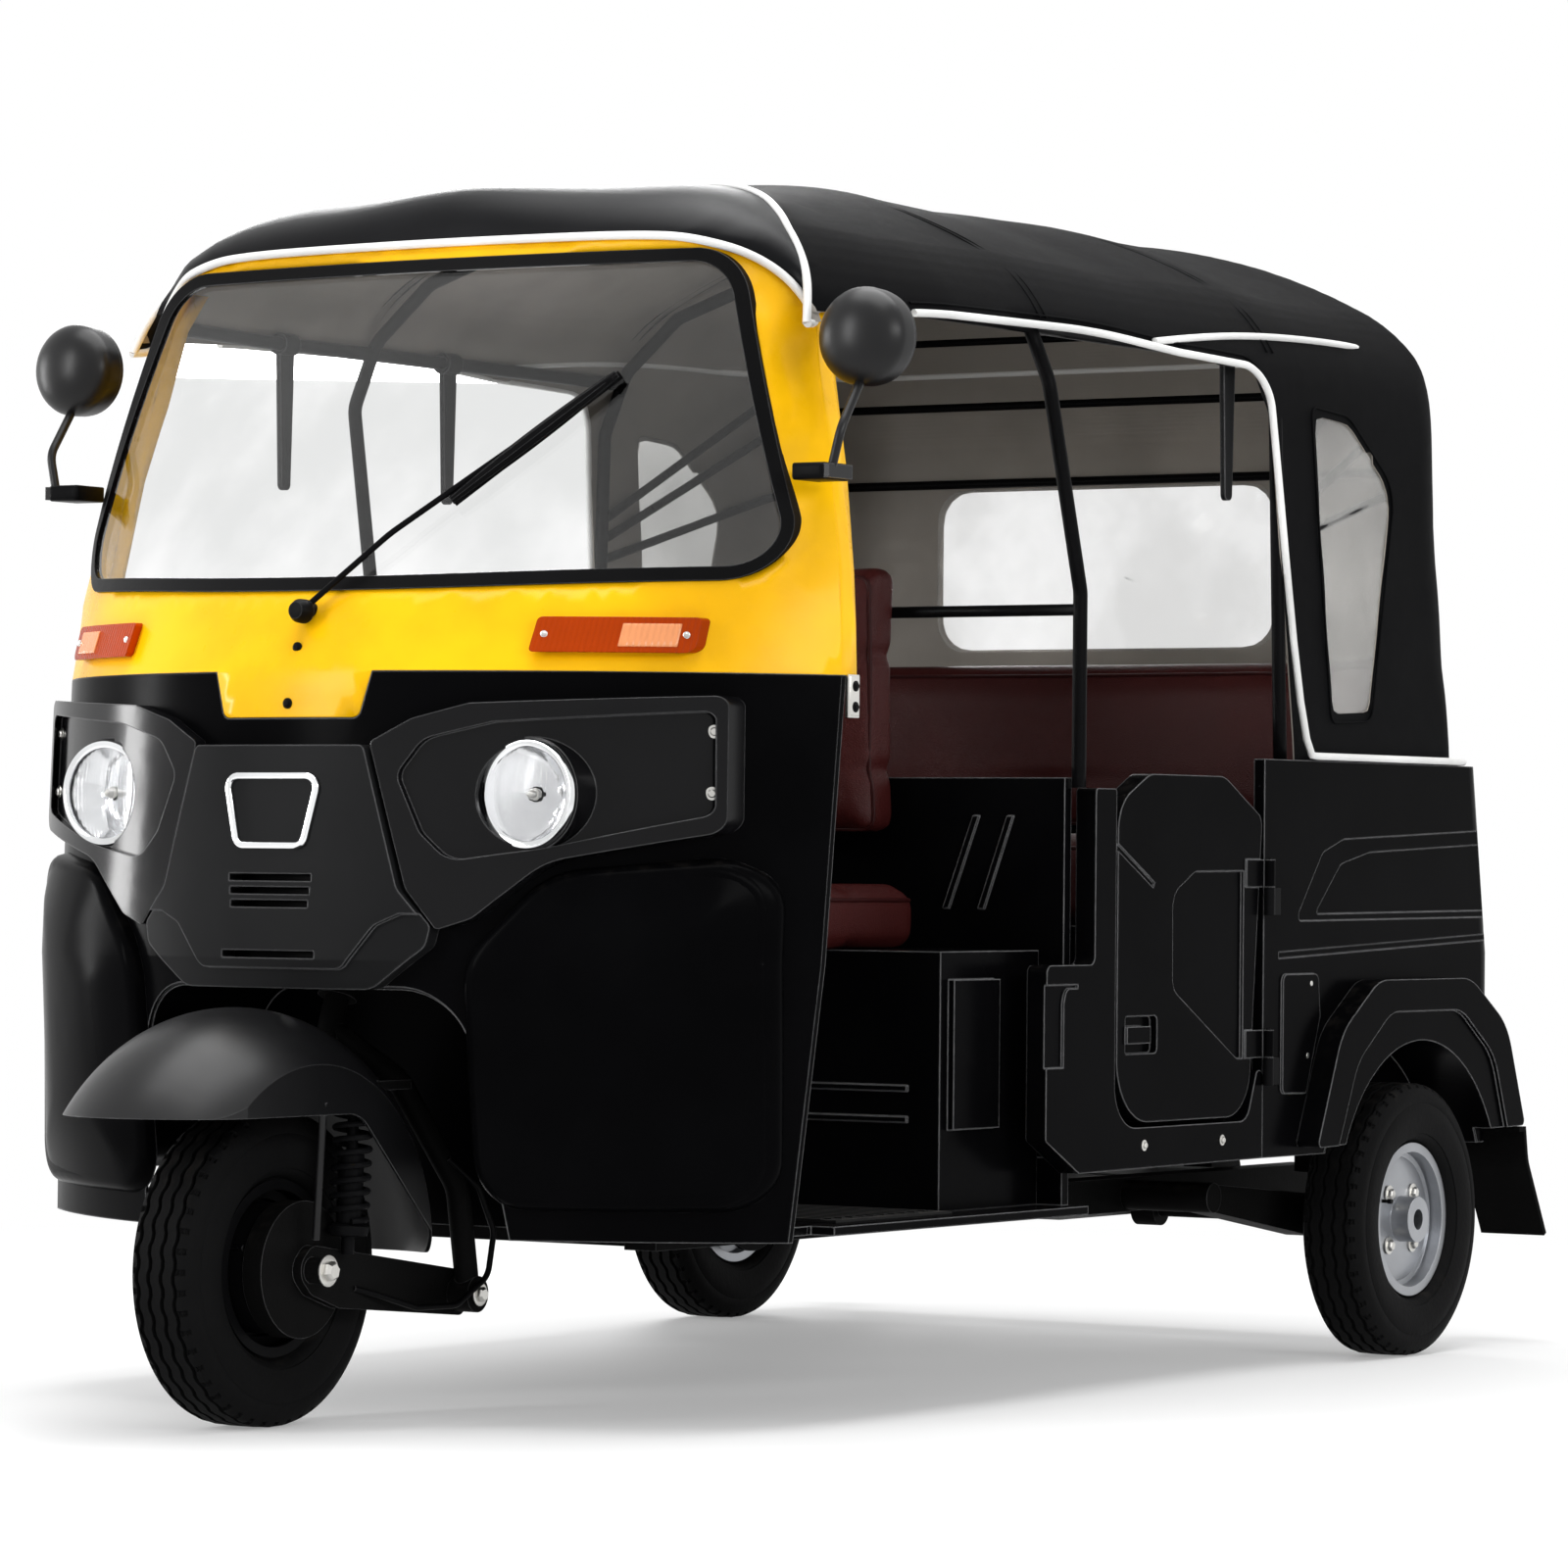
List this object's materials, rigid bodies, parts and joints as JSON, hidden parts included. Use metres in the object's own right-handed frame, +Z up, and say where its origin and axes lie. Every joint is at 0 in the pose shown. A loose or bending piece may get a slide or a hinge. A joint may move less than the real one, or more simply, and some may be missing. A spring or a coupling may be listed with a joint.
{
  "type": "auto rickshaw",
  "caption": "Three-wheeled passenger auto rickshaw with bowed windscreen, fabric hood, bench seat, half doors and steered front fork.",
  "frame": {"origin": "on the ground, under the middle of the overall length and width", "axes": "+X forward, +Y to the vehicle's left, +Z up"},
  "size_m": [2.7212, 1.424, 1.7],
  "materials": {
    "black_paint": "gloss",
    "yellow_paint": "gloss",
    "black_plastic": "satin",
    "gloss_black_plastic": "gloss",
    "black_rubber": "matte",
    "tyre_rubber": "matte",
    "clear_glass": "clear",
    "lamp_glass": "clear",
    "orange_lens": "gloss",
    "red_lens": "gloss",
    "canvas": "matte",
    "clear_vinyl": "clear",
    "maroon_vinyl": "satin",
    "black_steel": "satin",
    "silver_wheel": "satin",
    "cast_metal": "matte",
    "chassis_steel": "matte"
  },
  "bodies": {
    "vehicle_body": {"bench_base": "black_paint", "canopy": "canvas", "chassis_frame": "chassis_steel", "dashboard": "black_plastic", "door_hinges": "black_steel", "drive_shafts": "chassis_steel", "driver_backrest": "maroon_vinyl", "driver_cushion": "maroon_vinyl", "driver_seat_box": "black_paint", "engine": "cast_metal", "floor_pan": "black_paint", "front_cowl": "black_paint", "front_wheel_arch": "black_paint", "grab_straps": "black_plastic", "headlamp_bezels": "gloss_black_plastic", "headlamps": "lamp_glass", "hood_frame": "black_steel", "hood_windows": "clear_vinyl", "mirrors": "gloss_black_plastic", "mudflaps": "black_rubber", "nose_panel": "black_plastic", "partition": "black_paint", "passenger_backrest": "maroon_vinyl", "passenger_cushion": "maroon_vinyl", "rear_body": "black_paint", "rear_fenders": "black_paint", "rear_shocks": "chassis_steel", "roof_brow": "gloss_black_plastic", "side_panels": "black_paint", "silencer": "chassis_steel", "steering_head": "chassis_steel", "tail_lamps": "red_lens", "trailing_arms": "chassis_steel", "turn_indicators": "orange_lens", "windscreen_gasket": "black_rubber", "windscreen_glass": "clear_glass", "windscreen_surround": "yellow_paint", "wiper": "black_steel"},
    "steering": {"steering_fork": "chassis_steel", "front_link": "chassis_steel", "front_mudguard": "gloss_black_plastic", "front_shock": "chassis_steel", "handlebar": "black_plastic", "brake_hose": "black_rubber"},
    "front_wheel": {"front_tyre": "tyre_rubber", "front_rim": "black_steel"},
    "rear_wheel_left": {"rear_tyre_left": "tyre_rubber", "rear_rim_left": "silver_wheel"},
    "rear_wheel_right": {"rear_tyre_right": "tyre_rubber", "rear_rim_right": "silver_wheel"},
    "left_door": {"door_left": "black_paint"},
    "right_door": {"door_right": "black_paint"},
    "engine_lid": {"rear_lid": "black_paint"}
  },
  "joints": [
    {"name": "steer", "type": "hinge", "parent": "vehicle_body", "child": "steering", "pos_m": [1.102, 0, 0], "axis": [-0.3746, 0, 0.9272], "range_deg": [-38, 38]},
    {"name": "front_wheel_spin", "type": "hinge", "parent": "steering", "child": "front_wheel", "pos_m": [1.052, 0, 0.204], "axis": [0, 1, 0], "continuous": true},
    {"name": "rear_left_spin", "type": "hinge", "parent": "vehicle_body", "child": "rear_wheel_left", "pos_m": [-0.948, 0.603, 0.204], "axis": [0, 1, 0], "continuous": true},
    {"name": "rear_right_spin", "type": "hinge", "parent": "vehicle_body", "child": "rear_wheel_right", "pos_m": [-0.948, -0.603, 0.204], "axis": [0, 1, 0], "continuous": true},
    {"name": "left_door_hinge", "type": "hinge", "parent": "vehicle_body", "child": "left_door", "pos_m": [-0.508, 0.631, 0.5], "axis": [0, 0, 1], "range_deg": [0, 80]},
    {"name": "right_door_hinge", "type": "hinge", "parent": "vehicle_body", "child": "right_door", "pos_m": [-0.508, -0.631, 0.5], "axis": [0, 0, -1], "range_deg": [0, 80]},
    {"name": "lid_hinge", "type": "hinge", "parent": "vehicle_body", "child": "engine_lid", "pos_m": [-1.2427, 0, 0.802], "axis": [0, 1, 0], "range_deg": [0, 80]}
  ]
}
